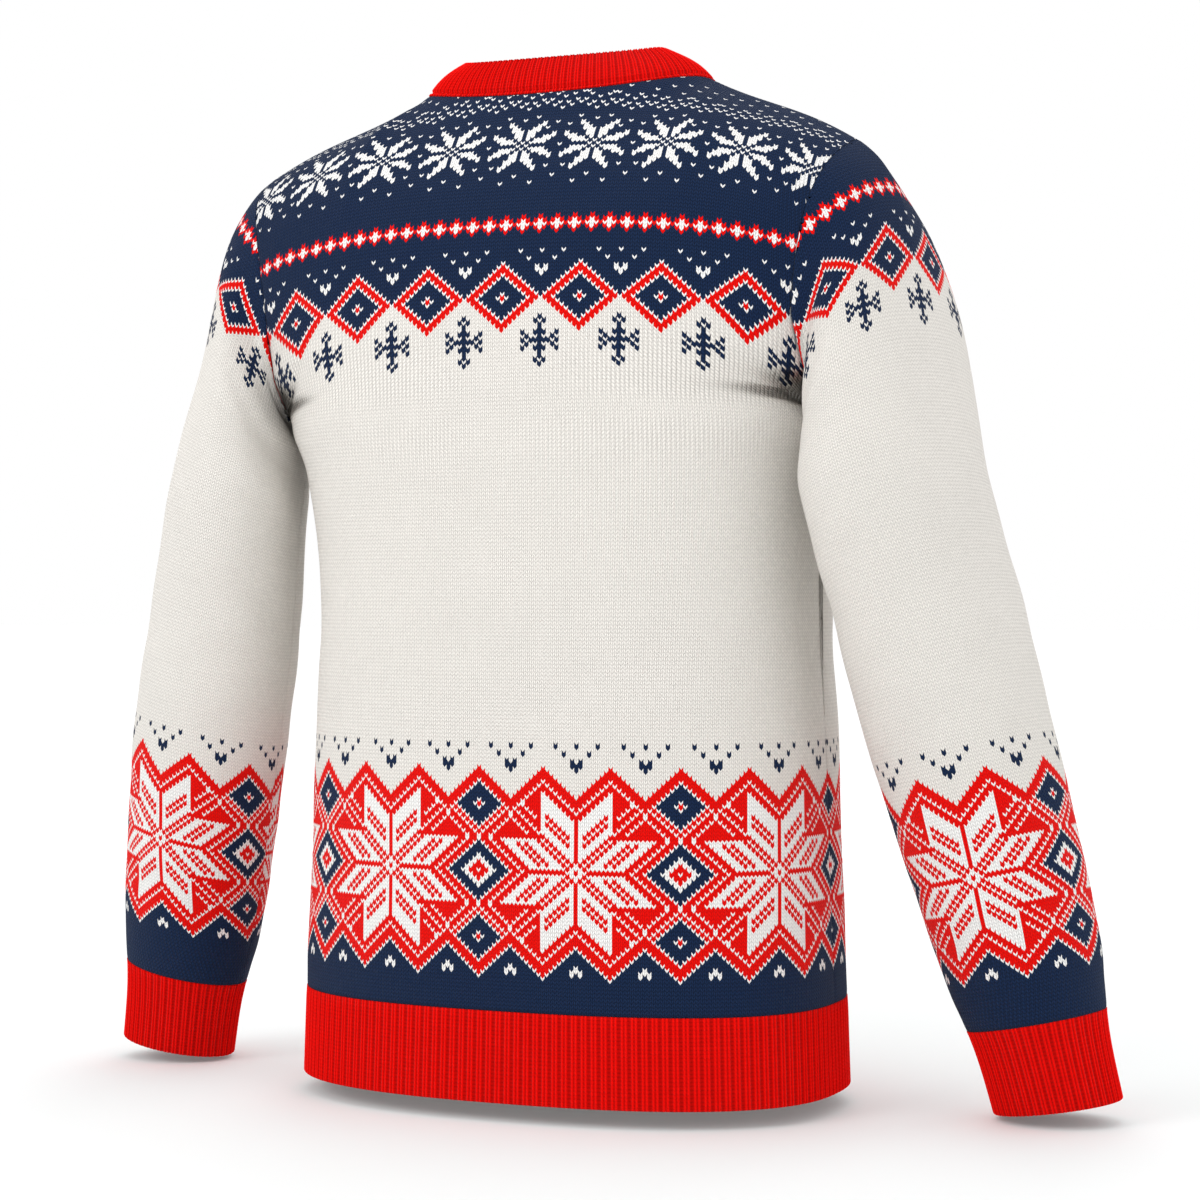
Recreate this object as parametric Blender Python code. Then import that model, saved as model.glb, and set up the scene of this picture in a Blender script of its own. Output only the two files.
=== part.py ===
"""A knitted Christmas pullover with a crew neck, filled out as if worn, with no wearer.

Metres. +Z up, the front faces -Y, the wearer's right is -X. The origin is at the base of
the neck opening. Every wall is one layer of knit; the panels meet at seams."""
import bpy
import numpy as np

WALL = 0.0025          # one layer of the wool knit
RIB_WALL = 0.0030      # the ribs are a little thicker
SEAM_GAP = 0.0003      # between two pieces at a seam
COLUMNS = 24           # quads across one body panel
NECK_SHARE = 0.5       # share of a panel's top edge that the neck takes
ROWS_LOW = 12          # quads from the hem seam to the shoulder blades
ROWS_HIGH = 7          # quads from there to the shoulder seam
ARMPIT_ROW = 8         # the row of the lower part at which the armhole starts
SLEEVE_ROWS = 15       # quads from the underarm ring to the cuff seam
CAP_ROWS = 5           # quads of the sleeve's cap
HEM_ROWS = 3
CUFF_ROWS = 3
COLLAR_ROWS = 3

HEM_DROP = 0.061       # height of the hem rib
HEM_FLARE = 0.002
SHOULDER_TIP = np.array((0.217, 0.028, -0.050))
NECK_POINT = np.array((0.105, 0.004, 0.002))
NECK_BACK = (0.068, -0.011)     # y and z of the neck seam at the centre of the back
NECK_FRONT = (-0.092, -0.078)   # and of the front
COLLAR_RISE = 0.027
COLLAR_LEAN_SIDE = 0.030        # how far the collar leans in at the sides
COLLAR_LEAN_BACK = 0.012
COLLAR_LEAN_FRONT = 0.022
CUFF_OUT = np.array((0.382, -0.027, -0.687))   # outer and inner points of the cuff's end
CUFF_IN = np.array((0.297, -0.028, -0.701))
CUFF_HALF = 0.037

# One row per level of the body. z is the level at the middle of a panel, edge_* the point
# where the panel ends (side seam, then armhole), back_y/front_y how far its middle stands
# out, turn_* how much of a quarter turn the panel takes up to its edge, full the exponent.
BODY_COLUMNS = ("row", "z", "edge_x", "edge_z", "back_y", "front_y", "edge_y_b", "edge_y_f",
                "turn_b", "turn_f", "full")
BODY_ROWS = (
    (0.0, -0.630, 0.193, -0.630, 0.126, -0.124, 0.000, 0.000, 90, 90, 2.50),
    (1.5, -0.545, 0.190, -0.545, 0.126, -0.125, 0.000, 0.000, 90, 90, 2.50),
    (3.0, -0.457, 0.187, -0.457, 0.125, -0.126, 0.000, 0.000, 90, 90, 2.45),
    (4.5, -0.375, 0.183, -0.375, 0.125, -0.127, 0.001, 0.001, 90, 90, 2.45),
    (5.5, -0.320, 0.184, -0.319, 0.126, -0.128, 0.003, 0.003, 90, 90, 2.45),
    (6.5, -0.272, 0.191, -0.270, 0.127, -0.128, 0.006, 0.006, 88, 88, 2.65),
    (8.0, -0.228, 0.203, -0.236, 0.128, -0.127, 0.010, 0.010, 84, 84, 2.95),
    (9.0, -0.207, 0.2005, -0.226, 0.128, -0.126, 0.050, -0.034, 70, 72, 2.95),
    (10.0, -0.186, 0.1960, -0.202, 0.128, -0.124, 0.080, -0.066, 56, 59, 2.90),
    (11.0, -0.163, 0.1935, -0.171, 0.127, -0.121, 0.095, -0.083, 46, 50, 2.85),
    (12.0, -0.137, 0.1965, -0.141, 0.125, -0.117, 0.096, -0.086, 44, 48, 2.80),
)

# One row per ring of a sleeve, from the underarm to the cuff seam: its outer and inner
# points, half its depth, how far its long axis leans (degrees) and the exponent.
SLEEVE_COLUMNS = ("row", "out_x", "out_y", "out_z", "in_x", "in_y", "in_z", "half", "lean",
                  "full")
SLEEVE_TABLE = (
    (0.0, 0.272, 0.043, -0.193, 0.2050, 0.012, -0.2500, 0.086, 14, 2.15),
    (2.2, 0.292, 0.047, -0.262, 0.2020, 0.030, -0.2960, 0.079, 18, 2.15),
    (5.0, 0.321, 0.026, -0.352, 0.2120, 0.024, -0.3830, 0.067, 14, 2.10),
    (8.0, 0.343, 0.014, -0.440, 0.2290, 0.014, -0.4660, 0.060, 8, 2.05),
    (11.0, 0.361, -0.003, -0.530, 0.2520, -0.004, -0.5550, 0.055, 5, 2.00),
    (13.4, 0.371, -0.014, -0.592, 0.2690, -0.014, -0.6140, 0.049, 3, 2.00),
    (15.0, 0.373, -0.019, -0.626, 0.2810, -0.018, -0.6450, 0.042, 0, 2.00),
)


def smooth(table, names, column, at):
    """A column of a table read smoothly between its rows."""
    rows = np.array(table, float)
    key = rows[:, 0]
    value = rows[:, names.index(column)]
    slope = np.gradient(value, key)
    at = np.clip(at, key[0], key[-1])
    i = np.clip(np.searchsorted(key, at, side="right") - 1, 0, len(key) - 2)
    step = key[i + 1] - key[i]
    f = (at - key[i]) / step
    start = (1 + 2 * f) * (1 - f) ** 2 * value[i] + f * (1 - f) ** 2 * step * slope[i]
    end = f * f * (3 - 2 * f) * value[i + 1] - f * f * (1 - f) * step * slope[i + 1]
    return start + end


def power(value, exponent):
    return np.clip(value, 0, None) ** exponent


def unit(vector):
    return vector / np.linalg.norm(vector, axis=-1, keepdims=True)


def bezier(a, b, c, d, f):
    f = f[..., None]
    return (1 - f) ** 3 * a + 3 * f * (1 - f) ** 2 * b + 3 * f * f * (1 - f) * c + f ** 3 * d


def low_body(side, s, row):
    """The body up to the shoulder blades. side is 1 for the back and -1 for the front."""
    tail = "b" if side > 0 else "f"

    def read(name):
        return smooth(BODY_ROWS, BODY_COLUMNS, name, row)

    turn = np.radians(read("turn_" + tail))
    share = 2 / read("full")
    angle = np.abs(s) * turn
    across = power(np.sin(angle), share) / power(np.sin(turn), share)
    rest = power(np.cos(turn), share)
    bulge = (power(np.cos(angle), share) - rest) / (1 - rest)
    middle = read("back_y" if side > 0 else "front_y")
    levels = [level[0] for level in BODY_ROWS]
    ends = [level[BODY_COLUMNS.index("edge_y_" + tail)] for level in BODY_ROWS]
    edge = np.interp(row, levels, ends)
    x = np.sign(s) * read("edge_x") * across
    y = edge + (middle - edge) * bulge
    z = read("z") + (read("edge_z") - read("z")) * np.abs(s) ** 2.2
    return np.stack([x, y, z], axis=-1)


def top_edge(side, s):
    """The neck seam, then the shoulder seam, from the middle of a panel to its tip."""
    a = np.abs(s)
    angle = np.clip(a / NECK_SHARE, 0, 1) * np.pi / 2
    y, z = NECK_BACK if side > 0 else NECK_FRONT
    out = power(np.sin(angle), 0.88)
    back = power(np.cos(angle), 0.88)
    fall = power(np.cos(angle), 1.8 if side > 0 else 1.6)
    neck = np.stack([NECK_POINT[0] * out, NECK_POINT[1] + (y - NECK_POINT[1]) * back,
                     NECK_POINT[2] + (z - NECK_POINT[2]) * fall], axis=-1)
    h = np.clip((a - NECK_SHARE) / (1 - NECK_SHARE), 0, 1)[..., None]
    line = NECK_POINT + (SHOULDER_TIP - NECK_POINT) * h
    line[..., 2] += 0.004 * np.sin(np.pi * h[..., 0]) * (2 * h[..., 0] - 0.6)
    point = np.where((a < NECK_SHARE)[..., None], neck, line)
    point[..., 0] *= np.sign(s)
    return point


def body(side, s, row):
    """A point of the body. Rows past ROWS_LOW curve over the shoulder to the top edge."""
    s, row = np.broadcast_arrays(np.asarray(s, float), np.asarray(row, float))
    low = low_body(side, s, np.clip(row, 0, ROWS_LOW))
    foot = low_body(side, s, np.full(s.shape, float(ROWS_LOW)))
    rise = unit(foot - low_body(side, s, np.full(s.shape, ROWS_LOW - 0.3)))
    top = top_edge(side, s)
    a = np.abs(s)
    neck = np.clip(a / NECK_SHARE, 0, 1) ** 2
    h = np.clip((a - NECK_SHARE) / (1 - NECK_SHARE), 0, 1)
    over = np.radians(58 - 42 * neck if side > 0 else 74 - 56 * neck)
    end = np.stack([-0.10 * np.sign(s) * neck * (1 - h), -side * np.cos(over),
                    np.sin(over)], axis=-1)
    gap = np.linalg.norm(top - foot, axis=-1)[..., None]
    near = foot + rise * gap * (0.46 + 0.04 * h[..., None])
    far = top - unit(end) * gap * (0.30 + 0.16 * neck[..., None])
    f = np.clip((row - ROWS_LOW) / ROWS_HIGH, 0, 1)
    high = bezier(foot, near, far, top, f)
    return np.where((row > ROWS_LOW)[..., None], high, low)


def armhole(s):
    """The armhole from the underarm up the back (s -1 to 0) and down the front (0 to 1)."""
    rows = ROWS_LOW + ROWS_HIGH - (ROWS_LOW + ROWS_HIGH - ARMPIT_ROW) * np.abs(s)
    back = body(1, np.ones_like(s), rows)
    front = body(-1, np.ones_like(s), rows)
    return np.where((s < 0)[..., None], back, front)


def ring(out, inner, half, lean, full, s):
    """A ring through its outer point (s 0) and inner point (s -1 and 1), by the back."""
    middle = (out + inner) / 2
    arm = (out - inner) / 2
    normal = unit(arm)
    back = np.stack([-np.sin(lean), np.cos(lean), np.zeros_like(lean)], axis=-1)
    back = unit(back - 0.35 * normal * np.sum(back * normal, axis=-1, keepdims=True))
    angle = s * np.pi
    share = 2 / full
    along = np.sign(np.cos(angle)) * np.abs(np.cos(angle)) ** share
    across = -np.sign(np.sin(angle)) * np.abs(np.sin(angle)) ** share
    return middle + arm * along[..., None] + back * (half * across)[..., None]


def tube(s, row):
    """The sleeve below its underarm ring."""
    def read(name):
        return smooth(SLEEVE_TABLE, SLEEVE_COLUMNS, name, row)

    out = np.stack([read("out_x"), read("out_y"), read("out_z")], axis=-1)
    inner = np.stack([read("in_x"), read("in_y"), read("in_z")], axis=-1)
    return ring(out, inner, read("half"), np.radians(read("lean")), read("full"), s)


def sleeve(s, row):
    """A point of the left sleeve. Rows below 0 are the cap, up to the armhole at -CAP_ROWS."""
    s, row = np.broadcast_arrays(np.asarray(s, float), np.asarray(row, float))
    low = tube(s, np.clip(row, 0, SLEEVE_ROWS))
    foot = tube(s, np.zeros_like(s))
    rise = unit(foot - tube(s, np.full(s.shape, 0.4)))
    top = armhole(s)
    # The ring's inner part runs into the underarm point, where the cap has no height.
    under = np.clip((np.abs(s) - 0.80) / 0.20, 0, 1) ** 2
    gap = np.linalg.norm(top - foot, axis=-1)[..., None]
    cap = np.cos(s * np.pi / 2) ** 2
    inward = np.stack([-0.35 - 0.50 * cap, -0.10 * np.sin(s * np.pi), 0.95 - 0.35 * cap],
                      axis=-1)
    near = foot + rise * gap * 0.40 * (1 - under[..., None])
    far = top - unit(inward) * gap * 0.36 * (1 - under[..., None])
    f = np.clip(-row / CAP_ROWS, 0, 1)
    high = bezier(foot, near, far, top, f)
    return np.where((row < 0)[..., None], high, low)


def cuff(s, f):
    """The cuff from the seam (0) to its end (1), drawn in a little just below the seam."""
    top = tube(s, np.full(s.shape, float(SLEEVE_ROWS)))
    end = ring(np.broadcast_to(CUFF_OUT, top.shape), np.broadcast_to(CUFF_IN, top.shape),
               np.full(s.shape, CUFF_HALF), np.zeros_like(s), np.full(s.shape, 2.0), s)
    point = top + (end - top) * f[..., None]
    middle = (top.mean(axis=-2, keepdims=True) * (1 - f[..., None])
              + end.mean(axis=-2, keepdims=True) * f[..., None])
    return point - (point - middle) * (0.03 * np.sin(np.pi * f ** 0.7))[..., None]


def hem(side, s, f):
    """The hem rib from the seam (0) to its end (1)."""
    top = body(side, s, np.zeros_like(s))
    out = np.stack([top[..., 0], top[..., 1], np.zeros_like(f)], axis=-1)
    point = top + unit(out) * (HEM_FLARE * f)[..., None]
    point[..., 2] -= HEM_DROP * f
    return point


def collar(side, s, f):
    """The neck rib from the neck seam (0) to its end (1)."""
    foot = top_edge(side, s)
    angle = np.abs(s) / NECK_SHARE * np.pi / 2
    middle = COLLAR_LEAN_BACK if side > 0 else COLLAR_LEAN_FRONT
    lean = middle + (COLLAR_LEAN_SIDE - middle) * np.sin(angle) ** 2
    inward = -np.stack([np.sign(s) * np.sin(angle), side * np.cos(angle),
                        np.zeros_like(angle)], axis=-1)
    flat = 0.62 if side < 0 else 1.0
    rise = COLLAR_RISE * (flat + (1 - flat) * np.sin(angle) ** 2)
    bow = 0.10 * np.sin(np.pi * f)
    point = foot + inward * (lean * (f - bow))[..., None]
    point[..., 2] += rise * (f + 0.6 * bow)
    return point


# ---------------------------------------------------------------- surfaces, seams, walls

def grids():
    """Every piece's outer surface as a grid, {name: (points, closed round, wall)}."""
    s = np.linspace(-1, 1, COLUMNS + 1)
    rows = np.arange(ROWS_LOW + ROWS_HIGH + 1.0)
    neck = s[np.abs(s) <= NECK_SHARE + 1e-9]
    found = {}
    for name, side in (("back", 1), ("front", -1)):
        across, up = np.meshgrid(s, rows)
        found[name] = (body(side, across, up), False, WALL)
        across, down = np.meshgrid(s, np.linspace(0, 1, HEM_ROWS + 1))
        found["hem_rib_" + name] = (hem(side, across, down), False, RIB_WALL)
    edge_rows = ROWS_LOW + ROWS_HIGH - ARMPIT_ROW
    turns = np.linspace(-1, 1, 2 * edge_rows + 1)[:-1]
    rows = np.concatenate([np.arange(-CAP_ROWS, 0.0), np.arange(SLEEVE_ROWS + 1.0)])
    mirror = np.array((-1.0, 1.0, 1.0))
    for name, way in (("left", 1), ("right", -1)):
        flip = mirror if way < 0 else 1.0
        around, down = np.meshgrid(turns, rows)
        found["sleeve_" + name] = (sleeve(around, down) * flip, True, WALL)
        around, down = np.meshgrid(turns, np.linspace(0, 1, CUFF_ROWS + 1))
        found["cuff_" + name] = (cuff(around, down) * flip, True, RIB_WALL)
    across, up = np.meshgrid(neck, np.linspace(0, 1, COLLAR_ROWS + 1))
    back, front = collar(1, across, up), collar(-1, across, up)
    loop = np.concatenate([back[:, :-1], front[:, :0:-1]], axis=1)
    found["neck_rib"] = (loop, True, RIB_WALL)
    return found


def seams(found):
    """Outward normals, and the way each edge draws back from its seam, both shared by all
    the points that meet there: ({name: normals}, {name: ways})."""
    points, parts, quads = [], {}, []
    start = 0
    for name, (grid, closed, _) in found.items():
        high, wide = grid.shape[:2]
        index = start + np.arange(high * wide).reshape(high, wide)
        start += high * wide
        parts[name] = index
        points.append(grid.reshape(-1, 3))
        side = np.roll(index, -1, axis=1) if closed else index[:, 1:]
        base = index if closed else index[:, :-1]
        quads.append(np.stack([base[:-1], side[:-1], side[1:], base[1:]],
                              axis=-1).reshape(-1, 4))
    points = np.concatenate(points)
    _, weld = np.unique(np.round(points, 6), axis=0, return_inverse=True)
    weld = weld.reshape(-1)
    total = np.zeros((weld.max() + 1, 3))
    for quad in quads:
        corner = points[quad]
        normal = unit(np.cross(corner[:, 2] - corner[:, 0], corner[:, 3] - corner[:, 1]))
        middle = corner.mean(axis=1)
        turned = np.sign(np.sum(normal * (middle - spine(middle)), axis=1))
        whole = 1.0 if turned.sum() >= 0 else -1.0
        for k in range(4):
            np.add.at(total, weld[quad[:, k]], normal * whole)
    normals = unit(total)
    ways = {name: inward_ways(grid, closed) for name, (grid, closed, _) in found.items()}
    shared = np.zeros((weld.max() + 1, 3))
    number = np.zeros(weld.max() + 1)
    for name, index in parts.items():
        np.add.at(shared, weld[index], ways[name])
        np.add.at(number, weld[index], np.any(ways[name] != 0, axis=-1))
    for name, index in parts.items():
        own = ways[name]
        others = (shared[weld[index]] - own) / np.maximum(number[weld[index]] - 1, 1)[..., None]
        long = np.linalg.norm(own - others, axis=-1, keepdims=True)
        edge = np.any(own != 0, axis=-1, keepdims=True)
        ways[name] = np.where(edge, (own - others) / np.maximum(long, 1e-9), 0.0)
    # At the underarm point the sleeve leaves outwards and the panels inwards.
    for name, sign in (("sleeve_left", 1), ("sleeve_right", -1)):
        ways[name][0, 0] = unit(np.array((1.0 * sign, 0.0, -0.6)))
    for name, side in (("back", 1), ("front", -1)):
        for column, sign in ((0, -1), (-1, 1)):
            ways[name][ARMPIT_ROW, column] = unit(np.array((-1.0 * sign, 0.7 * side, -0.2)))
    return {name: normals[weld[index]] for name, index in parts.items()}, ways


def inward_ways(grid, closed):
    """At each edge point of a grid the unit way into the grid, and zero elsewhere."""
    way = np.zeros_like(grid)
    for edge, inner in ((0, 1), (-1, -2)):
        way[edge] += unit(grid[inner] - grid[edge])
    if not closed:
        for edge, inner in ((0, 1), (-1, -2)):
            way[:, edge] += unit(grid[:, inner] - grid[:, edge])
    length = np.linalg.norm(way, axis=-1, keepdims=True)
    return np.where(length > 0, way / np.maximum(length, 1e-9), 0.0)


def spine(middle):
    """A point well inside the garment, nearest to each given point's level."""
    arm = np.abs(middle[:, 0]) > 0.215
    inside = np.stack([np.zeros(len(middle)), np.zeros(len(middle)),
                       np.minimum(middle[:, 2], -0.16)], axis=-1)
    f = np.clip((-0.05 - middle[:, 2]) / 0.60, 0, 1)
    core = np.stack([np.sign(middle[:, 0]) * (0.215 + 0.125 * f), 0.03 - 0.055 * f,
                     middle[:, 2] - 0.02], axis=-1)
    return np.where(arm[:, None], core, inside)


def rim(flat, a, b, count, turned):
    """Two triangles across the wall, split the same way on both sides of a seam."""
    one, other = ((abs(p[0]), p[1], p[2]) for p in (flat[a].round(6), flat[b].round(6)))
    first = one > other
    if first:
        pair = [(a, b, b + count), (a, b + count, a + count)]
    else:
        pair = [(a, b, a + count), (b, b + count, a + count)]
    return [face[::-1] for face in pair] if turned else pair


def make_piece(name, grid, normals, way, closed, wall, material):
    """One closed wall: the outer grid, the inner one and the rims between them."""
    outer = grid + way * (SEAM_GAP / 2)
    inner = outer - normals * wall
    high, wide = grid.shape[:2]
    count = high * wide
    index = np.arange(count).reshape(high, wide)
    base = index if closed else index[:, :-1]
    side = np.roll(index, -1, axis=1) if closed else index[:, 1:]
    sheet = np.stack([base[:-1], side[:-1], side[1:], base[1:]], axis=-1).reshape(-1, 4)
    if not closed:
        # The right half's quads are split the other way, so that the panel is symmetric.
        split = sheet.reshape(high - 1, wide - 1, 4)
        split[:, wide // 2:] = np.roll(split[:, wide // 2:], -1, axis=-1)
        sheet = split.reshape(-1, 4)
    faces = [tuple(quad) for quad in sheet]
    faces += [tuple(quad[[0, 3, 2, 1]] + count) for quad in sheet]
    flat = grid.reshape(-1, 3)
    for row in (0, high - 1):
        for a, b in zip(base[row], side[row]):
            faces += rim(flat, a, b, count, row == 0)
    if not closed:
        for column in (0, wide - 1):
            for a, b in zip(index[:-1, column], index[1:, column]):
                faces += rim(flat, a, b, count, column != 0)
    mesh = bpy.data.meshes.new(name)
    points = np.concatenate([outer.reshape(-1, 3), inner.reshape(-1, 3)])
    mesh.from_pydata(points.tolist(), [], [tuple(int(i) for i in f) for f in faces])
    mesh.materials.append(material)
    piece = bpy.data.objects.new(name, mesh)
    bpy.context.scene.collection.objects.link(piece)
    if signed_volume(mesh) < 0:
        mesh.flip_normals()
    return piece


def signed_volume(mesh):
    mesh.calc_loop_triangles()
    total = 0.0
    for triangle in mesh.loop_triangles:
        a, b, c = (mesh.vertices[i].co for i in triangle.vertices)
        total += a.dot(b.cross(c)) / 6
    return total


def wool(name, colour):
    material = bpy.data.materials.new(name)
    material.use_nodes = True
    shader = material.node_tree.nodes["Principled BSDF"]
    shader.inputs["Base Color"].default_value = (*colour, 1.0)
    shader.inputs["Roughness"].default_value = 0.9
    return material


def main():
    for old in list(bpy.data.objects):
        bpy.data.objects.remove(old)
    found = grids()
    normals, ways = seams(found)
    for name, (grid, closed, wall) in found.items():
        colour = (0.80, 0.01, 0.005) if wall == RIB_WALL else (0.80, 0.77, 0.71)
        material = wool("wool_" + name, colour)
        make_piece(name, grid, normals[name], ways[name], closed, wall, material)


main()
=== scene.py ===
"""A knitted Christmas pullover with a crew neck, filled out as if worn, in a pale studio.

Metres. +Z up, the front faces -Y, the wearer's right is -X, the origin is at the base of the
neck opening. Every stitch of the panels is two slanted faces, the legs of its V."""
from __future__ import annotations

import logging
import math
from dataclasses import dataclass, field
from enum import Enum
from typing import Callable, Sequence

import bmesh
import bpy
import numpy as np
from mathutils import Matrix, Vector


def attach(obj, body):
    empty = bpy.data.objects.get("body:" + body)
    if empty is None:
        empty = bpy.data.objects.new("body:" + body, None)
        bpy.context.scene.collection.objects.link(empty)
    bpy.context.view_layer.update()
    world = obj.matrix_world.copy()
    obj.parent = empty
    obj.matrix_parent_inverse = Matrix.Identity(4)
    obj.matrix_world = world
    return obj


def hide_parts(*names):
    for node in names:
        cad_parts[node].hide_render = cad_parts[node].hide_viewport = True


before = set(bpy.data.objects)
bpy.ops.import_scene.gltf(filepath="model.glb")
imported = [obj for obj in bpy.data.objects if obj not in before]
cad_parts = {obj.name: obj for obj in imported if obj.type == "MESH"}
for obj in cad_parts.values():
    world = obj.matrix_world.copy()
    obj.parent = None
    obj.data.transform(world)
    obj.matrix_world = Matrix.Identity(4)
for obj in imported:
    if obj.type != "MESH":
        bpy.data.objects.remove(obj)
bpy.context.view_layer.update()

LOG = logging.getLogger("pullover")
Array = np.ndarray


class Yarn(Enum):
    """The four yarns, as linear colours."""

    CREAM = (0.860, 0.825, 0.775)
    NAVY = (0.0100, 0.0250, 0.072)
    RED = (0.850, 0.0030, 0.0010)
    WHITE = (0.950, 0.940, 0.920)


CREAM, NAVY, RED, WHITE = range(len(Yarn))
YARN_COLOURS = np.array([yarn.value for yarn in Yarn])


class Side(Enum):
    """The back or the front of the body."""

    BACK = 1
    FRONT = -1


# ---- small helpers


def power(value: Array, exponent: Array | float) -> Array:
    """Raises what is above zero to a power, and the rest as zero."""
    return np.clip(value, 0, None) ** exponent


def unit(vector: Array) -> Array:
    """Scales vectors, along the last axis, to length one."""
    return vector / np.maximum(np.linalg.norm(vector, axis=-1, keepdims=True), 1e-12)


def joined(*parts: Array) -> Array:
    """Coordinates put together along a new last axis, spread to one shape."""
    return np.stack(np.broadcast_arrays(*parts), axis=-1)


def lengths(points: Array, axis: int = 0) -> Array:
    """How far it is along each line of points, from its start to each point."""
    steps = np.linalg.norm(np.diff(points, axis=axis), axis=-1)
    return np.cumsum(np.insert(steps, 0, 0.0, axis=axis), axis=axis)


def bezier(a: Array, b: Array, c: Array, d: Array, f: Array) -> Array:
    """The points of a cubic curve from a to d with the handles b and c, at f of 0 to 1."""
    f = f[..., None]
    return (1 - f) ** 3 * a + 3 * f * (1 - f) ** 2 * b + 3 * f * f * (1 - f) * c + f**3 * d


@dataclass(frozen=True)
class Table:
    """A short table with named columns, read smoothly between its rows."""

    names: tuple[str, ...]
    rows: tuple[tuple[float, ...], ...]

    def column(self, name: str) -> tuple[Array, Array]:
        """The keys of the rows and the values of one column."""
        rows = np.array(self.rows, float)
        return rows[:, 0], rows[:, self.names.index(name)]

    def read(self, name: str, at: Array) -> Array:
        """A column, smooth between the rows.

        Args:
            name: The column.
            at: Where to read, in the key's units.

        Returns:
            The values.
        """
        key, value = self.column(name)
        slope = np.gradient(value, key)
        at = np.clip(at, key[0], key[-1])
        i = np.clip(np.searchsorted(key, at, side="right") - 1, 0, len(key) - 2)
        step = key[i + 1] - key[i]
        f = (at - key[i]) / step
        start = (1 + 2 * f) * (1 - f) ** 2 * value[i] + f * (1 - f) ** 2 * step * slope[i]
        end = f * f * (3 - 2 * f) * value[i + 1] - f * f * (1 - f) * step * slope[i + 1]
        return start + end


# ---- the cut


@dataclass(frozen=True)
class Sizes:
    """The garment's named sizes. The notch is how far the middle of a stitch's V hangs down."""

    wall: float = 0.0025
    rib_wall: float = 0.0030
    stitch: float = 0.0029
    course: float = 0.0026
    notch: float = 0.68 * 0.0026
    armhole_half: float = 0.194
    droop_from: float = 0.41
    droop_over: float = 0.16
    seam_depth: float = 0.0005
    seam_width: float = 0.0024
    fold_fade: float = 0.030
    drift: float = 0.0004
    leg_out: float = 0.00005
    leg_in: float = 0.00008
    neck_share: float = 0.5
    hem_drop: float = 0.061
    hem_flare: float = 0.002
    neck_back: tuple[float, float] = (0.068, -0.011)
    neck_front: tuple[float, float] = (-0.092, -0.078)
    collar_rise: float = 0.027
    collar_lean_side: float = 0.030
    collar_lean_back: float = 0.012
    collar_lean_front: float = 0.022
    cuff_half: float = 0.037


SIZES = Sizes()
SHOULDER_TIP = np.array((0.217, 0.028, -0.050))
NECK_POINT = np.array((0.105, 0.004, 0.002))
CUFF_OUT = np.array((0.382, -0.027, -0.687))
CUFF_IN = np.array((0.297, -0.028, -0.701))

BODY = Table(
    ("row", "z", "edge_x", "edge_z", "back_y", "front_y", "edge_y_b", "edge_y_f",
     "turn_b", "turn_f", "full"),
    (
        (0.0, -0.630, 0.193, -0.630, 0.126, -0.124, 0.000, 0.000, 90, 90, 2.50),
        (1.5, -0.545, 0.190, -0.545, 0.126, -0.125, 0.000, 0.000, 90, 90, 2.50),
        (3.0, -0.457, 0.187, -0.457, 0.125, -0.126, 0.000, 0.000, 90, 90, 2.45),
        (4.5, -0.375, 0.183, -0.375, 0.125, -0.127, 0.001, 0.001, 90, 90, 2.45),
        (5.5, -0.320, 0.184, -0.319, 0.126, -0.128, 0.003, 0.003, 90, 90, 2.45),
        (6.5, -0.272, 0.191, -0.270, 0.127, -0.128, 0.006, 0.006, 88, 88, 2.65),
        (8.0, -0.228, 0.203, -0.236, 0.128, -0.127, 0.010, 0.010, 84, 84, 2.95),
        (9.0, -0.207, 0.2005, -0.226, 0.128, -0.126, 0.050, -0.034, 70, 72, 2.95),
        (10.0, -0.186, 0.1960, -0.202, 0.128, -0.124, 0.080, -0.066, 56, 59, 2.90),
        (11.0, -0.163, 0.1935, -0.171, 0.127, -0.121, 0.095, -0.083, 46, 50, 2.85),
        (12.0, -0.137, 0.1965, -0.141, 0.125, -0.117, 0.096, -0.086, 44, 48, 2.80),
    ),
)
SLEEVE = Table(
    ("row", "out_x", "out_y", "out_z", "in_x", "in_y", "in_z", "half", "lean", "full"),
    (
        (0.0, 0.272, 0.043, -0.193, 0.2050, 0.012, -0.2500, 0.086, 14, 2.15),
        (2.2, 0.292, 0.047, -0.262, 0.2020, 0.030, -0.2960, 0.079, 18, 2.15),
        (5.0, 0.321, 0.026, -0.352, 0.2120, 0.024, -0.3830, 0.067, 14, 2.10),
        (8.0, 0.343, 0.014, -0.440, 0.2290, 0.014, -0.4660, 0.060, 8, 2.05),
        (11.0, 0.361, -0.003, -0.530, 0.2520, -0.004, -0.5550, 0.055, 5, 2.00),
        (13.4, 0.371, -0.014, -0.592, 0.2690, -0.014, -0.6140, 0.049, 3, 2.00),
        (15.0, 0.373, -0.019, -0.626, 0.2810, -0.018, -0.6450, 0.042, 0, 2.00),
    ),
)


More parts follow.
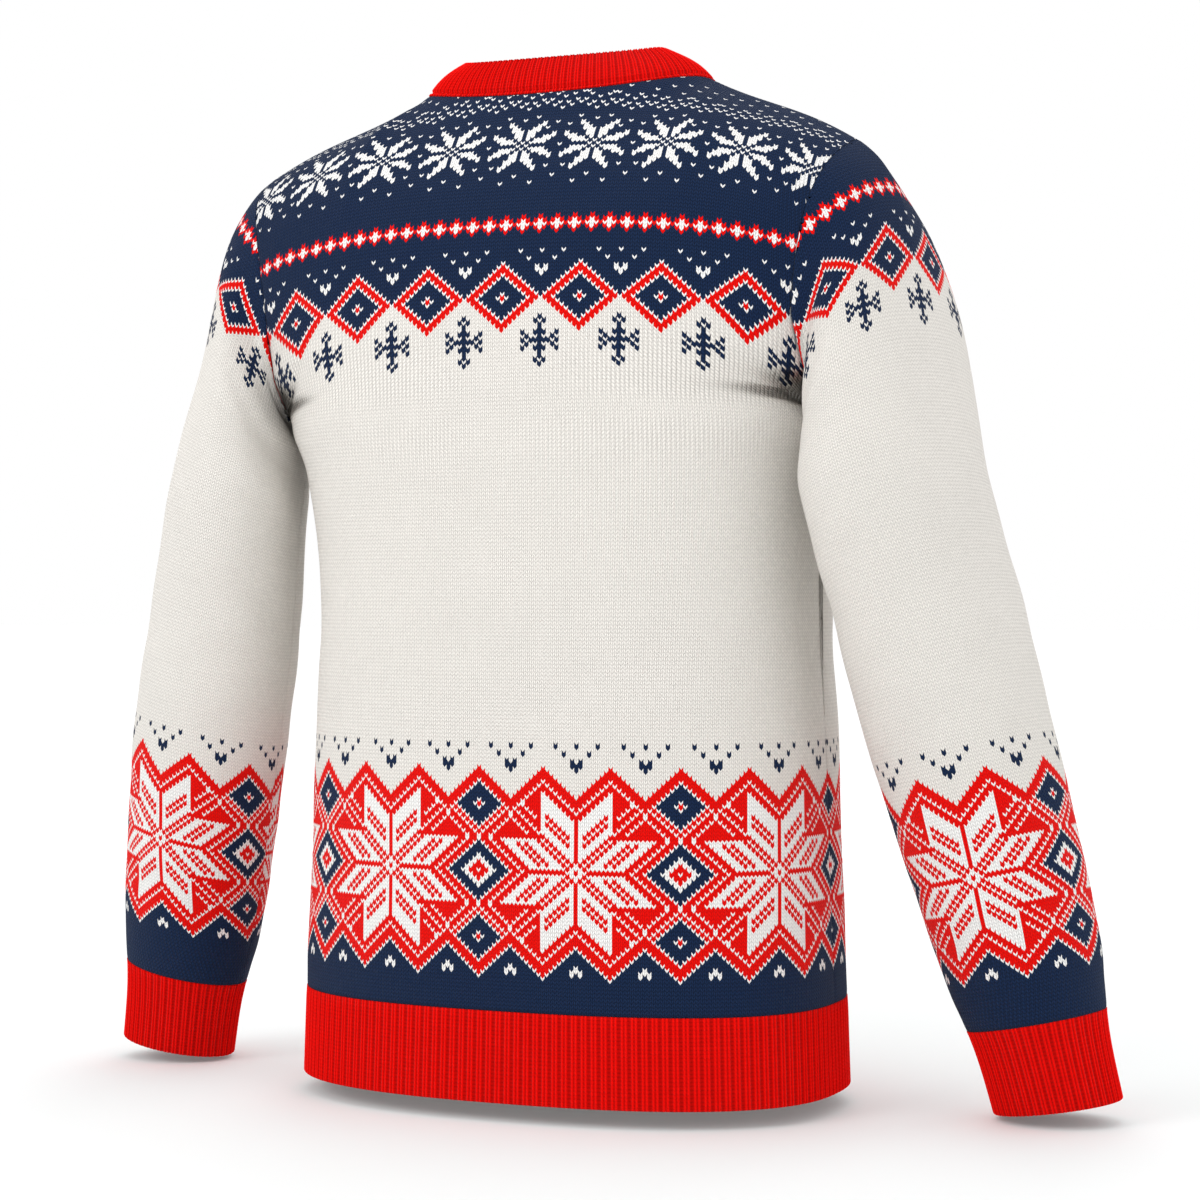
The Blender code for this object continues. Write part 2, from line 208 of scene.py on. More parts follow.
@dataclass(frozen=True)
class BodyForm:
    """The front or the back, as a surface in (s, row).

    s runs across from -1 to 1, and row up from the hem's seam to the neck and the shoulder."""

    side: Side = Side.BACK
    bottom: float = 0.0
    foot: float = 12.0
    top: float = 19.0

    def low(self, s: Array, row: Array) -> Array:
        """The body up to the shoulder blades.

        Args:
            s: How far across.
            row: The row of the table.

        Returns:
            The points.
        """
        tail = "b" if self.side is Side.BACK else "f"
        turn = np.radians(BODY.read("turn_" + tail, row))
        share = 2 / BODY.read("full", row)
        angle = np.abs(s) * turn
        across = power(np.sin(angle), share) / power(np.sin(turn), share)
        rest = power(np.cos(turn), share)
        bulge = (power(np.cos(angle), share) - rest) / (1 - rest)
        middle = BODY.read("back_y" if self.side is Side.BACK else "front_y", row)
        edge = np.interp(row, *BODY.column("edge_y_" + tail))
        level, end = BODY.read("z", row), BODY.read("edge_z", row)
        return joined(np.sign(s) * BODY.read("edge_x", row) * across,
                      edge + (middle - edge) * bulge,
                      level + (end - level) * np.abs(s) ** 2.2)

    def top_edge(self, s: Array) -> Array:
        """The neck seam, then the shoulder seam.

        Args:
            s: How far across.

        Returns:
            The points.
        """
        a = np.abs(s)
        angle = np.clip(a / SIZES.neck_share, 0, 1) * np.pi / 2
        back = self.side is Side.BACK
        y, z = SIZES.neck_back if back else SIZES.neck_front
        out = power(np.sin(angle), 0.88)
        deep = power(np.cos(angle), 0.88)
        fall = power(np.cos(angle), 1.8 if back else 1.6)
        neck = joined(NECK_POINT[0] * out, NECK_POINT[1] + (y - NECK_POINT[1]) * deep,
                      NECK_POINT[2] + (z - NECK_POINT[2]) * fall)
        h = np.clip((a - SIZES.neck_share) / (1 - SIZES.neck_share), 0, 1)[..., None]
        line = NECK_POINT + (SHOULDER_TIP - NECK_POINT) * h
        line[..., 2] += 0.004 * np.sin(np.pi * h[..., 0]) * (2 * h[..., 0] - 0.6)
        point = np.where((a < SIZES.neck_share)[..., None], neck, line)
        point[..., 0] *= np.sign(s)
        return point

    def point(self, s: Array, row: Array) -> Array:
        """A point of the panel.

        Args:
            s: How far across.
            row: The row of the table, or past its foot over the shoulder.

        Returns:
            The points.
        """
        s, row = np.broadcast_arrays(np.asarray(s, float), np.asarray(row, float))
        way = self.side.value
        low = self.low(s, np.clip(row, 0, self.foot))
        foot = self.low(s, np.full(s.shape, self.foot))
        rise = unit(foot - self.low(s, np.full(s.shape, self.foot - 0.3)))
        top = self.top_edge(s)
        a = np.abs(s)
        neck = np.clip(a / SIZES.neck_share, 0, 1) ** 2
        h = np.clip((a - SIZES.neck_share) / (1 - SIZES.neck_share), 0, 1)
        over = np.radians(58 - 42 * neck if way > 0 else 74 - 56 * neck)
        end = joined(-0.10 * np.sign(s) * neck * (1 - h), -way * np.cos(over), np.sin(over))
        gap = np.linalg.norm(top - foot, axis=-1)[..., None]
        near = foot + rise * gap * (0.46 + 0.04 * h[..., None])
        far = top - unit(end) * gap * (0.30 + 0.16 * neck[..., None])
        f = np.clip((row - self.foot) / (self.top - self.foot), 0, 1)
        return np.where((row > self.foot)[..., None], bezier(foot, near, far, top, f), low)


BACK = BodyForm(side=Side.BACK)
FRONT = BodyForm(side=Side.FRONT)
ARMPIT_ROW = 8.0


def ring(out: Array, inner: Array, half: Array, lean: Array, full: Array, s: Array) -> Array:
    """A ring through its outer point (s 0) and its inner point (s -1 and 1), by the back.

    Args:
        out: The outer point.
        inner: The inner point.
        half: Half of the depth.
        lean: The lean of the long axis, in radians.
        full: The exponent.
        s: How far round.

    Returns:
        The points.
    """
    middle = (out + inner) / 2
    arm = (out - inner) / 2
    normal = unit(arm)
    back = joined(-np.sin(lean), np.cos(lean), 0.0)
    back = unit(back - 0.35 * normal * np.sum(back * normal, axis=-1, keepdims=True))
    angle = s * np.pi
    share = 2 / full
    along = np.sign(np.cos(angle)) * np.abs(np.cos(angle)) ** share
    across = -np.sign(np.sin(angle)) * np.abs(np.sin(angle)) ** share
    return middle + arm * along[..., None] + back * (half * across)[..., None]


@dataclass(frozen=True)
class SleeveForm:
    """A sleeve, from the cuff's seam (row 15) to the armhole (row -5). sign 1 is the left.

    s runs round it, from -1 at the inner side by the back (-0.5) to 1."""

    sign: int = 1
    bottom: float = 15.0
    foot: float = 0.0
    top: float = -5.0

    @staticmethod
    def armhole(s: Array) -> Array:
        """The armhole, up the back from the underarm (s -1 to 0) and down the front.

        Args:
            s: How far round.

        Returns:
            The points.
        """
        rows = BACK.top - (BACK.top - ARMPIT_ROW) * np.abs(s)
        one = np.ones_like(s)
        return np.where((s < 0)[..., None], BACK.point(one, rows), FRONT.point(one, rows))

    @staticmethod
    def tube(s: Array, row: Array) -> Array:
        """The sleeve below its underarm ring.

        Args:
            s: How far round.
            row: The row of the table.

        Returns:
            The points.
        """
        out = joined(*(SLEEVE.read("out_" + k, row) for k in "xyz"))
        inner = joined(*(SLEEVE.read("in_" + k, row) for k in "xyz"))
        lean = np.radians(SLEEVE.read("lean", row))
        return ring(out, inner, SLEEVE.read("half", row), lean, SLEEVE.read("full", row), s)

    def point(self, s: Array, row: Array) -> Array:
        """A point of the sleeve.

        Args:
            s: How far round.
            row: The row of the table, below 0 in the cap.

        Returns:
            The points.
        """
        s, row = np.broadcast_arrays(np.asarray(s, float), np.asarray(row, float))
        low = self.tube(s, np.clip(row, 0, self.bottom))
        foot = self.tube(s, np.zeros_like(s))
        rise = unit(foot - self.tube(s, np.full(s.shape, 0.4)))
        top = self.armhole(s)
        under = np.clip((np.abs(s) - 0.80) / 0.20, 0, 1)[..., None] ** 2
        gap = np.linalg.norm(top - foot, axis=-1)[..., None]
        cap = np.cos(s * np.pi / 2) ** 2
        inward = joined(-0.35 - 0.50 * cap, -0.10 * np.sin(s * np.pi), 0.95 - 0.35 * cap)
        near = foot + rise * gap * 0.40 * (1 - under)
        far = top - unit(inward) * gap * 0.36 * (1 - under)
        f = np.clip(row / self.top, 0, 1)
        point = np.where((row < 0)[..., None], bezier(foot, near, far, top, f), low)
        return point * np.array((self.sign, 1.0, 1.0))


Form = BodyForm | SleeveForm


# ---- the charts


@dataclass(frozen=True)
class Motif:
    """A small repeat, given as a chart. The first line is its top row."""

    lines: tuple[str, ...]

    def stamp(self, found: Array, p: Array, q: Array, yarn: int) -> None:
        """Knits the motif into a chart.

        Args:
            found: The chart's yarns, changed in place.
            p: The column from the motif's centre, at each stitch.
            q: The row from the motif's centre, at each stitch.
            yarn: Its yarn.
        """
        high, wide = len(self.lines), len(self.lines[0])
        for k, line in enumerate(self.lines):
            for m in np.nonzero(np.array(list(line)) == "#")[0]:
                found[(p == m - wide // 2) & (q == (high - 1) // 2 - k)] = yarn


SNOWFLAKE = Motif((
    "....#....",
    "...#.#...",
    "....#....",
    "....#....",
    "#..###..#",
    ".#..#..#.",
    "#.#####.#",
    ".#..#..#.",
    "#..###..#",
    "....#....",
    "....#....",
    "...#.#...",
    "....#....",
))
HEART = Motif(("#.#", "###", ".#."))
ARCH = Motif((".#.", "###", "#.#"))
DIAMOND_PITCH, STAR_PITCH, BAND_PITCH, BAND_HEIGHT = 18, 17, 48, 26
CHAIN_ROW, STAR_ROW = 19, 43
LICE = ((-7, -7), (6, -7), (0, -10), (8, -10), (-4, -12), (3, -12), (8, 0), (-7, 8), (-5, 6),
        (1, 9), (7, 7), (5, 10), (-2, 10))


def centred(column: Array, centre: int, pitch: int) -> Array:
    """The signed distance to the nearest repeat, from -pitch/2 up to pitch/2."""
    return (column - centre + pitch // 2) % pitch - pitch // 2


@dataclass(frozen=True)
class Chart:
    """The colour work of one panel, counted in stitches and in courses from the rib."""

    star_column: int
    yoke_column: int
    star_course: int = 36
    diamond_course: int = 182
    yoke_stars: bool = True

    def colours(self, column: Array, course: Array) -> Array:
        """The yarn of every stitch.

        Args:
            column: Each stitch's column.
            course: Each stitch's course.

        Returns:
            The yarns.
        """
        found = np.full(column.shape, CREAM)
        q = course - self.diamond_course
        found[q >= 0] = NAVY
        self._yoke(found, column, q)
        if self.yoke_stars:
            self._star_row(found, column, q - STAR_ROW)
        self._band(found, column, course - self.star_course)
        return found

    def _lice(self, found: Array, p: Array, q: Array, yarn: int, foot: int) -> None:
        """Three lice, two lice and a heart, in a valley.

        Args:
            found: The yarns, changed in place.
            p: The column from the valley.
            q: The row.
            yarn: Their yarn.
            foot: The heart's lowest row.
        """
        found[((np.abs(p) == 5) | (p == 0)) & (q == foot + 6)] = yarn
        found[(np.abs(p) == 3) & (q == foot + 4)] = yarn
        HEART.stamp(found, p, q - foot - 1, yarn)

    def _yoke(self, found: Array, column: Array, q: Array) -> None:
        """The chain of diamonds, the snowflakes, the lice and the chain of crosses.

        Args:
            found: The yarns, changed in place.
            column: The columns.
            q: The row from the diamonds' centre.
        """
        p = centred(column, self.yoke_column, DIAMOND_PITCH)
        valley = centred(column, self.yoke_column + DIAMOND_PITCH // 2, DIAMOND_PITCH)
        r = np.abs(p) + np.abs(q)
        found[(r == 9) & (q >= 0)] = WHITE
        for radius, yarn in ((8, RED), (6, WHITE), (5, NAVY)):
            found[r <= radius] = yarn
        found[r == 1] = WHITE
        found[r == 0] = RED
        SNOWFLAKE.stamp(found, valley, q + 11, NAVY)
        self._lice(found, valley, q, WHITE, 6)
        link = centred(column, self.yoke_column, 4)
        r = np.abs(link) + np.abs(q - CHAIN_ROW)
        found[r == 2] = RED
        found[r <= 1] = WHITE

    def _star_row(self, found: Array, column: Array, q: Array) -> None:
        """The row of eight-petalled stars with the lice round it.

        Args:
            found: The yarns, changed in place.
            column: The columns.
            q: The row from the stars' centre.
        """
        p = centred(column, self.yoke_column, STAR_PITCH)
        a, b = np.abs(p), np.abs(q)
        for x, y, reach in ((a, b, 8), (b, a, 7)):
            e = y - x
            petal = (x >= 1) & (x <= 4) & (e >= np.maximum(1, x - 1)) & (e <= 4)
            found[petal & (y <= reach)] = WHITE
        found[a + b == 1] = WHITE
        for x, y in LICE:
            found[(centred(column, self.yoke_column + x, STAR_PITCH) == 0) & (q == y)] = WHITE
        low = 13 + np.abs(centred(column, self.yoke_column + 1, 8)) // 2
        found[(column % 2 == 0) & ((q == low) | (q == low + 4))] = WHITE
        found[(column % 2 == 1) & (q == low + 2)] = WHITE
        for x, y in ((0, 19), (3, 22), (0, 25), (3, 28), (0, 31)):
            found[(centred(column, self.yoke_column + x, 6) == 0) & (q == y)] = WHITE

    def _band(self, found: Array, column: Array, q: Array) -> None:
        """The lattice of large stars above the rib, three peaks to a repeat.

        Args:
            found: The yarns, changed in place.
            column: The columns.
            q: The row from the stars' centre.
        """
        third, half = BAND_PITCH // 3, BAND_PITCH // 2
        a, b = np.abs(centred(column, self.star_column, BAND_PITCH)), np.abs(q)
        peak = np.where(a <= third, np.abs(a - third // 2), np.abs(a - half))
        depth = BAND_HEIGHT - peak - b
        inside = depth >= 0
        found[(q < 0) & ~inside] = NAVY
        found[(q < 0) & (depth == -1)] = WHITE
        valley = centred(column, self.star_column, third)
        self._lice(found, valley, q, NAVY, BAND_HEIGHT)
        ARCH.stamp(found, valley, q + 25, WHITE)
        found[inside] = RED
        # A dotted line runs along each diagonal, with a short one on each side of it.
        corner = inside & (a > 8) & (b > 8) & (depth > 3)
        found[corner & (b - a == 1)] = WHITE
        found[corner & (b - a == 4) & (a >= 10) & (a <= 13)] = WHITE
        found[corner & (b - a == -2) & (b >= 10) & (b <= 13)] = WHITE
        self._star(found, a, b)
        r = half - a + b
        near = (a >= 11) & (b <= 12)
        for low, high, yarn in ((12, 13, RED), (11, 11, WHITE), (9, 10, RED), (8, 8, WHITE),
                                (5, 7, NAVY), (3, 4, WHITE), (1, 2, RED), (0, 0, WHITE)):
            found[near & (r >= low) & (r <= high)] = yarn
        slant = a + b
        lattice = (a >= 16) & (b >= 9) & inside
        found[lattice & (slant >= 29) & (slant <= 34)] = RED
        found[lattice & ((slant == 30) | (slant == 33))] = WHITE
        found[inside & (depth == 3)] = WHITE
        found[inside & (depth < 3)] = RED
        r = half - a + np.abs(17 - b)
        for radius, yarn in ((5, NAVY), (1, WHITE), (0, RED)):
            found[inside & (r <= radius)] = yarn
        found[(r == 6) & inside & (depth > 3)] = WHITE

    @staticmethod
    def _star(found: Array, a: Array, b: Array) -> None:
        """One large star.

        Args:
            found: The yarns, changed in place.
            a: The distance across from its centre.
            b: The distance up or down from its centre.
        """
        for x, y, tip in ((a, b, 12), (b, a, 10)):
            e = y - x
            petal = (x >= 1) & (x <= 8) & (e >= 2) & (e <= tip)
            found[petal] = WHITE
            found[petal & (x >= 2) & (x <= 7) & ((e == 5) | (e == 7))] = RED
        near = (a <= 8) & (b <= 8)
        found[near & (np.abs(a - b) == 1)] = RED
        found[near & (a == b)] = WHITE
        found[(a + b <= 2) & (a < 2) & (b < 2)] = WHITE
        found[((a == 0) & (b == 2)) | ((b == 0) & (a == 2))] = WHITE
        found[(a == 0) & (b >= 3) & (b <= 13)] = RED
        found[(b == 0) & (a >= 3) & (a <= 11)] = RED
        found[(a == 0) & (b == 0)] = RED


# ---- cloth meshes


@dataclass
class Cloth:
    """What a mesh of cloth is filled with, one entry a vertex or a face of its grid."""

    points: Array
    stitch_uv: Array
    bake_uv: Array
    drop: Array
    colours: Array
    over: Array


SPINE_STEPS, CAP_STEPS = 601, 81
SPREAD_FROM, SPREAD_OVER = 0.36, 0.44


@dataclass
class Weaver:
    """Lays a form out in stitches, by arc length, and cuts it at the form's edges."""

    form: Form
    fine: int = 241
    spread: float = 1.0
    low_rows: Array = field(init=False)
    low_length: Array = field(init=False)
    fine_s: Array = field(init=False)
    high: Array = field(init=False)
    run: Array = field(init=False)

    def __post_init__(self) -> None:
        """Measures the form along its columns and its spine."""
        even = np.linspace(-1, 1, 2 * self.fine - 1)
        self.fine_s = np.sign(even) * np.abs(even) ** 1.35
        self.high = np.linspace(self.form.foot, self.form.top, CAP_STEPS)
        column = self.form.point(self.fine_s[:, None], self.high[None, :])
        self.run = lengths(column, 1)
        self.low_rows = np.linspace(self.form.bottom, self.form.foot, SPINE_STEPS)
        self.low_length = lengths(self.form.point(np.zeros(SPINE_STEPS), self.low_rows))

    def half_width(self) -> float:
        """The widest half of the panel below the foot, in metres."""
        rows = np.linspace(self.form.bottom, self.form.foot, 41)
        grid = self.form.point(*np.meshgrid(np.linspace(0, 1, self.fine), rows))
        return float(lengths(grid, 1)[:, -1].max())

    def full_height(self) -> float:
        """The longest way up the panel, in metres."""
        grid = self.form.point(*np.meshgrid(np.linspace(-1, 1, CAP_STEPS), self.high))
        return float(self.low_length[-1] + lengths(grid, 0)[-1].max())

    def width_of_stitch(self, level: float) -> float:
        """How much wider than at the rib the stitches are at a level."""
        f = min(max((level / self.low_length[-1] - SPREAD_FROM) / SPREAD_OVER, 0.0), 1.0)
        return 1.0 + (self.spread - 1.0) * f * f * (3 - 2 * f)

    def row_at(self, rise: float) -> Array:
        """The row that a rise above the foot reaches, at each of the fine columns."""
        return np.array([np.interp(rise, run, self.high) for run in self.run])

    def lay(self, u: Array, v: Array) -> tuple[Array, Array, Array, Array]:
        """Lays one line of vertices.

        Args:
            u: The lengths across from the centre line.
            v: The lengths up from the rib's seam, one for each u.

        Returns:
            s, row, how far it is to the side edge and how far to the top.
        """
        level, foot = float(v[len(v) // 2]), float(self.low_length[-1])
        over = level > foot
        row = (self.row_at(level - foot) if over
               else np.full(self.fine_s.shape, np.interp(level, self.low_length, self.low_rows)))
        line = self.form.point(self.fine_s, row)
        step = np.diff(line, axis=0)
        # Where a row has run out at the neck, the columns go on as far apart as before.
        live = self.run[:, -1] > level - foot
        length = np.where(live[1:] & live[:-1], np.linalg.norm(step, axis=1), np.abs(step[:, 0]))
        length = np.concatenate([[0.0], np.cumsum(length)])
        length -= length[self.fine - 1]
        wide = u * self.width_of_stitch(level)
        s = np.interp(wide, length, self.fine_s)
        side = np.minimum(wide - length[0], length[-1] - wide)
        rows = np.interp(v, self.low_length, self.low_rows)
        near = np.clip(np.searchsorted(self.fine_s, s) - 1, 0, len(self.fine_s) - 2)
        part = (s - self.fine_s[near]) / (self.fine_s[near + 1] - self.fine_s[near])
        for i in np.nonzero(v > foot)[0]:
            run = self.run[near[i]] * (1 - part[i]) + self.run[near[i] + 1] * part[i]
            rows[i] = np.interp(v[i] - foot, run, self.high)
        top = np.interp(s, self.fine_s, self.run[:, -1]) + foot - v
        return s, rows, side, top


def add_grid(mesh: bmesh.types.BMesh, wide: int, high: int, height: float) -> None:
    """Adds a flat grid of one unit at a level of its own, which tells grids apart."""
    made = bmesh.ops.create_grid(mesh, x_segments=wide, y_segments=high, size=0.5)
    bmesh.ops.translate(mesh, verts=made["verts"], vec=(0.5, 0.5, height))


def fill_grids(name: str, sizes: Sequence[tuple[int, int]],
               fill: Callable[[int, Array, Array], Cloth],
               weld: float = 0.0, rim: bool = False) -> bpy.types.Object:
    """Makes an object of one or more grids and fills them.

    Args:
        name: The object's name.
        sizes: The faces across and up of each grid.
        fill: Gives the Cloth of grid k at the columns and the rows of its vertices.
        weld: The distance at which vertices are merged, or 0.
        rim: Whether the edges of two grids are joined by a rim.

    Returns:
        The object.
    """
    work = bmesh.new()
    for k, (wide, high) in enumerate(sizes):
        add_grid(work, wide, high, float(k))
    mesh = bpy.data.meshes.new(name)
    work.to_mesh(mesh)
    work.free()
    count = len(mesh.vertices)
    flat = np.empty(count * 3, np.float32)
    mesh.vertices.foreach_get("co", flat)
    flat = flat.reshape(-1, 3)
    loops = np.empty(len(mesh.loops), np.int32)
    mesh.loops.foreach_get("vertex_index", loops)
    faces = loops.reshape(-1, 4)
    by_vertex = {"points": np.zeros((count, 3)), "stitch_uv": np.zeros((count, 2)),
                 "bake_uv": np.zeros((count, 2)), "drop": np.zeros(count, bool)}
    by_face = {"colours": np.ones((len(faces), 4)), "over": np.ones((len(faces), 4))}
    for k, (wide, high) in enumerate(sizes):
        cloth = fill(k, np.arange(wide + 1), np.arange(high + 1))
        mine = np.abs(flat[:, 2] - k) < 0.5
        i, j = np.rint(flat[mine, :2] * (wide, high)).astype(int).T
        for part, values in by_vertex.items():
            values[mine] = getattr(cloth, part)[j, i]
        face = mine[faces[:, 0]]
        middle = flat[faces[face], :2].mean(axis=1)
        i, j = np.floor(middle * (wide, high)).astype(int).T
        for part, values in by_face.items():
            values[face, :3] = getattr(cloth, part)[j, i]
    mesh.vertices.foreach_set("co", by_vertex["points"].astype(np.float32).ravel())
    for layer, part in (("stitch", "stitch_uv"), ("OFBake", "bake_uv")):
        uv = by_vertex[part][loops].astype(np.float32).ravel()
        mesh.uv_layers.new(name=layer).data.foreach_set("uv", uv)
    for layer, part in (("yarn", "colours"), ("over", "over")):
        tint = mesh.color_attributes.new(name=layer, type="FLOAT_COLOR", domain="CORNER")
        tint.data.foreach_set("color", np.repeat(by_face[part], 4, axis=0)
                              .astype(np.float32).ravel())
    trim(mesh, by_vertex["drop"][faces].all(axis=1), weld, rim)
    piece = bpy.data.objects.new(name, mesh)
    bpy.context.scene.collection.objects.link(piece)
    return piece


def trim(mesh: bpy.types.Mesh, gone: Array, weld: float, rim: bool) -> None:
    """Removes what lies past the edges, welds the vertices and joins the two sheets where asked,
    and shades the faces smooth.

    Args:
        mesh: The mesh.
        gone: Which faces go.
        weld: The distance at which vertices are merged, or 0.
        rim: Whether the two sheets are joined along their edges.
    """
    work = bmesh.new()
    work.from_mesh(mesh)
    work.faces.ensure_lookup_table()
    lost = [work.faces[int(i)] for i in np.nonzero(gone)[0]]
    bmesh.ops.delete(work, geom=lost, context="FACES")
    if weld > 0:
        bmesh.ops.remove_doubles(work, verts=work.verts, dist=weld)
    if rim:
        bmesh.ops.dissolve_degenerate(work, edges=[e for e in work.edges if e.is_boundary],
                                      dist=1e-7)
        edges = [edge for edge in work.edges if edge.is_boundary]
        made = bmesh.ops.bridge_loops(work, edges=edges)
        bake = work.loops.layers.uv["OFBake"]
        tints = [work.loops.layers.float_color[name] for name in ("yarn", "over")]
        fresh = set(made["faces"])
        for face in fresh:
            for loop in face.loops:
                near = [other for other in loop.vert.link_loops if other.face not in fresh]
                # A corner with no sheet beside it is baked between the two sheets.
                loop[bake].uv = (0.9, 0.5)
                if near:
                    loop[bake].uv = near[0][bake].uv
                    for tint in tints:
                        loop[tint] = near[0][tint]
    work.to_mesh(mesh)
    work.free()
    mesh.polygons.foreach_set("use_smooth", np.ones(len(mesh.polygons), bool))
    mesh.update()


def grid_normals(points: Array) -> Array:
    """The unit normals of a grid of points."""
    return unit(np.cross(np.gradient(points, axis=1), np.gradient(points, axis=0)))


@dataclass(frozen=True)
class Fold:
    """A soft trough or ridge along a line in (s, row)."""

    start: tuple[float, float]
    end: tuple[float, float]
    width: float
    height: float


def folded(folds: Sequence[Fold], s: Array, row: Array, scale: tuple[float, float]) -> Array:
    """How far the folds lift the cloth.

    Args:
        folds: The folds.
        s: How far across, at each point.
        row: The row, at each point.
        scale: The metres in one s and in one row.

    Returns:
        The lift in metres.
    """
    lift = np.zeros(np.shape(s))
    size = np.array(scale)
    here = joined(s, row) * size
    for fold in folds:
        a, b = np.array(fold.start) * size, np.array(fold.end) * size
        way = b - a
        along = np.clip(((here - a) @ way) / (way @ way), 0, 1)
        away = np.linalg.norm(here - a - along[..., None] * way, axis=-1)
        fade = 0.35 + 0.65 * np.sin(np.pi * np.clip(along, 0.02, 0.98)) ** 0.7
        lift += fold.height * fade * np.exp(-((away / fold.width) ** 2))
    return lift


# ---- shader maths


class Shader:
    """A material's node tree, with one method for every node."""

    def __init__(self, name: str) -> None:
        """Starts a material.

        Args:
            name: Its name.
        """
        self.material = bpy.data.materials.new(name)
        self.material.use_nodes = True
        self.tree = self.material.node_tree
        self.surface = self.tree.nodes["Principled BSDF"]

    def node(self, kind: str, inputs: dict[str | int, object] | None = None,
             output: str | int = 0, **settings: object) -> "Expression":
        """Adds a node and takes one of its outputs.

        Args:
            kind: The node's type.
            inputs: What goes into its sockets, by name or number.
            output: The output's name or number.
            settings: Its properties.

        Returns:
            The output.
        """
        made = self.tree.nodes.new(kind)
        for key, value in settings.items():
            setattr(made, key, value)
        for key, value in (inputs or {}).items():
            self.plug(value, made.inputs[key])
        return Expression(self, made.outputs[output])

    def plug(self, value: object, socket: bpy.types.NodeSocket) -> None:
        """Links or sets an input.

        Args:
            value: An expression, a socket or a constant.
            socket: The input.
        """
        if isinstance(value, Expression):
            value = value.socket
        if isinstance(value, bpy.types.NodeSocket):
            self.tree.links.new(value, socket)
        else:
            socket.default_value = value

    def mix(self, factor: object, a: object, b: object, blend: str = "MIX") -> "Expression":
        """Mixes two colours, with the factor for how much of the second."""
        return self.node("ShaderNodeMix", {0: factor, 6: a, 7: b}, 2,
                         data_type="RGBA", blend_type=blend)


@dataclass(frozen=True)
class Expression:
    """A value in a shader, with the operators of arithmetic."""

    shader: Shader
    socket: bpy.types.NodeSocket

    def math(self, operation: str, *others: object) -> "Expression":
        """Puts the value and any others through a Math node."""
        inputs = dict(enumerate((self, *others)))
        return self.shader.node("ShaderNodeMath", inputs, operation=operation)

    def __add__(self, other: object) -> "Expression":
        """Adds another value."""
        return self.math("ADD", other)

    __radd__ = __add__

    def __sub__(self, other: object) -> "Expression":
        """Subtracts another value."""
        return self.math("SUBTRACT", other)

    def __rsub__(self, other: float) -> "Expression":
        """Subtracts the value from a number."""
        return self.math("MULTIPLY", -1.0).math("ADD", other)

    def __mul__(self, other: object) -> "Expression":
        """Multiplies by another value."""
        return self.math("MULTIPLY", other)

    __rmul__ = __mul__

    def __pow__(self, other: object) -> "Expression":
        """Raises to a power."""
        return self.math("POWER", other)

    def clamped(self) -> "Expression":
        """Cuts the value off at 0 and 1."""
        return self.math("MAXIMUM", 0.0).math("MINIMUM", 1.0)


@dataclass(frozen=True)
class Finish:
    """How a yarn looks once knitted. Its shade is how far the painted shade between the stitches
    darkens its colour.
    """

    name: str
    roughness: float
    sheen: float
    relief: float
    fuzz: float
    shade: float
    legs: bool


KNIT = Finish("patterned wool", 0.92, 0.05, 0.00055, 0.22, 0.34, True)
RIB = Finish("red ribbed wool", 0.92, 0.03, 0.00060, 0.20, 0.62, False)


